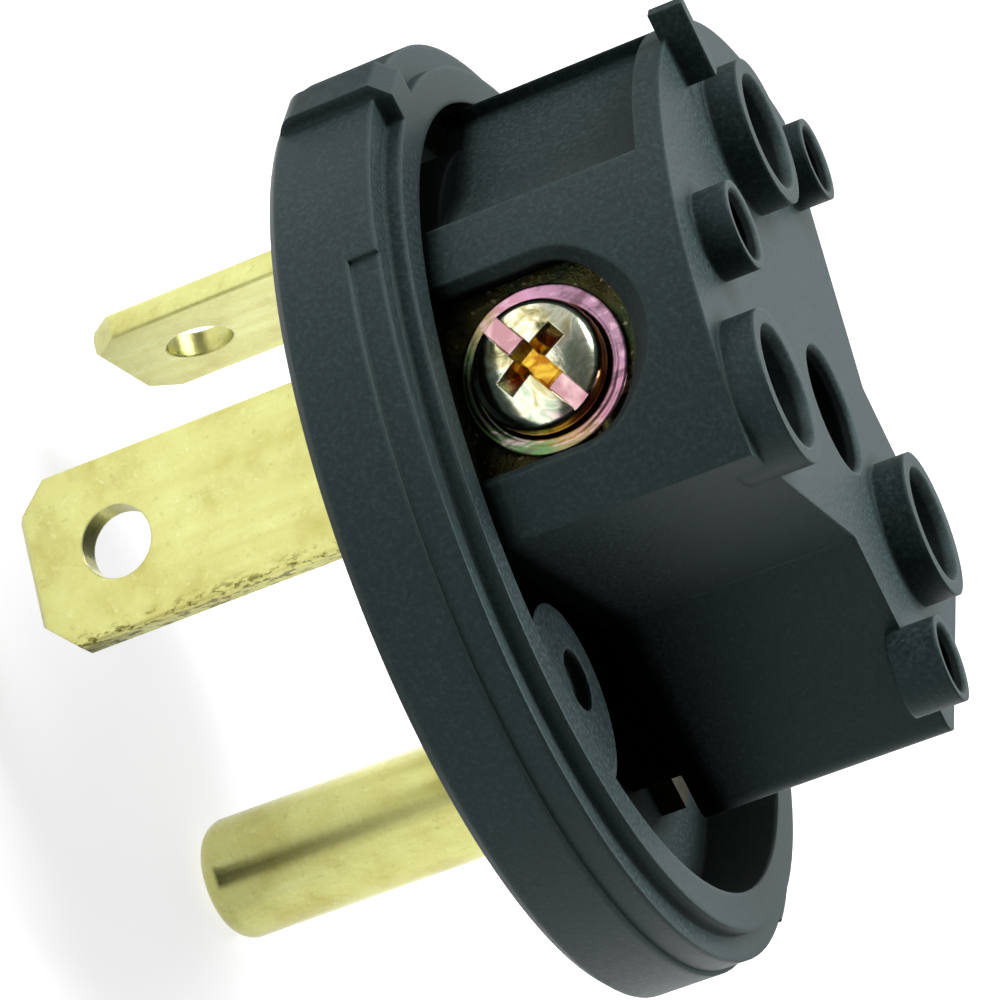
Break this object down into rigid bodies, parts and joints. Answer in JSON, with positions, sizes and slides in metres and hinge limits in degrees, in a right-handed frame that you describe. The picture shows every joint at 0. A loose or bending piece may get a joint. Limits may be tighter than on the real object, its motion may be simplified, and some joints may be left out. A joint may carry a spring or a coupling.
{
  "type": "straight blade plug",
  "caption": "Wired insert of a straight blade plug: round moulded face with two angled flat blades, a round earth pin and a block with screw terminals and funnelled wire entries.",
  "frame": {"origin": "centre of the disc's flat mating face, the face the prongs come out of", "axes": "+Z away from the outlet towards the wire entries, prongs point to -Z; +Y towards the round ground prong; +X completes the right-handed frame"},
  "size_m": [0.055, 0.0557, 0.0482],
  "materials": {
    "moulding": "moulded, fine matt texture",
    "prong_brass": "bright drawn strip",
    "screw_brass": "bright, slightly tarnished",
    "plated_steel": "iridescent zinc plating",
    "dark_steel": "dark speckled plating"
  },
  "bodies": {
    "root": {"base_disc": "moulding", "terminal_block": "moulding", "line_blade": "prong_brass", "neutral_blade": "prong_brass", "ground_pin": "prong_brass", "ground_strap": "prong_brass", "centre_screw": "plated_steel", "line_terminal_screw": "screw_brass", "neutral_terminal_screw": "screw_brass", "ground_terminal_screw": "screw_brass", "line_cup_washer": "plated_steel", "neutral_cup_washer": "plated_steel", "ground_cup_washer": "plated_steel", "line_clamp_plate": "dark_steel", "neutral_clamp_plate": "dark_steel", "ground_clamp_plate": "dark_steel", "line_pressure_plate": "plated_steel", "neutral_pressure_plate": "plated_steel", "ground_pressure_plate": "plated_steel"}
  },
  "joints": []
}
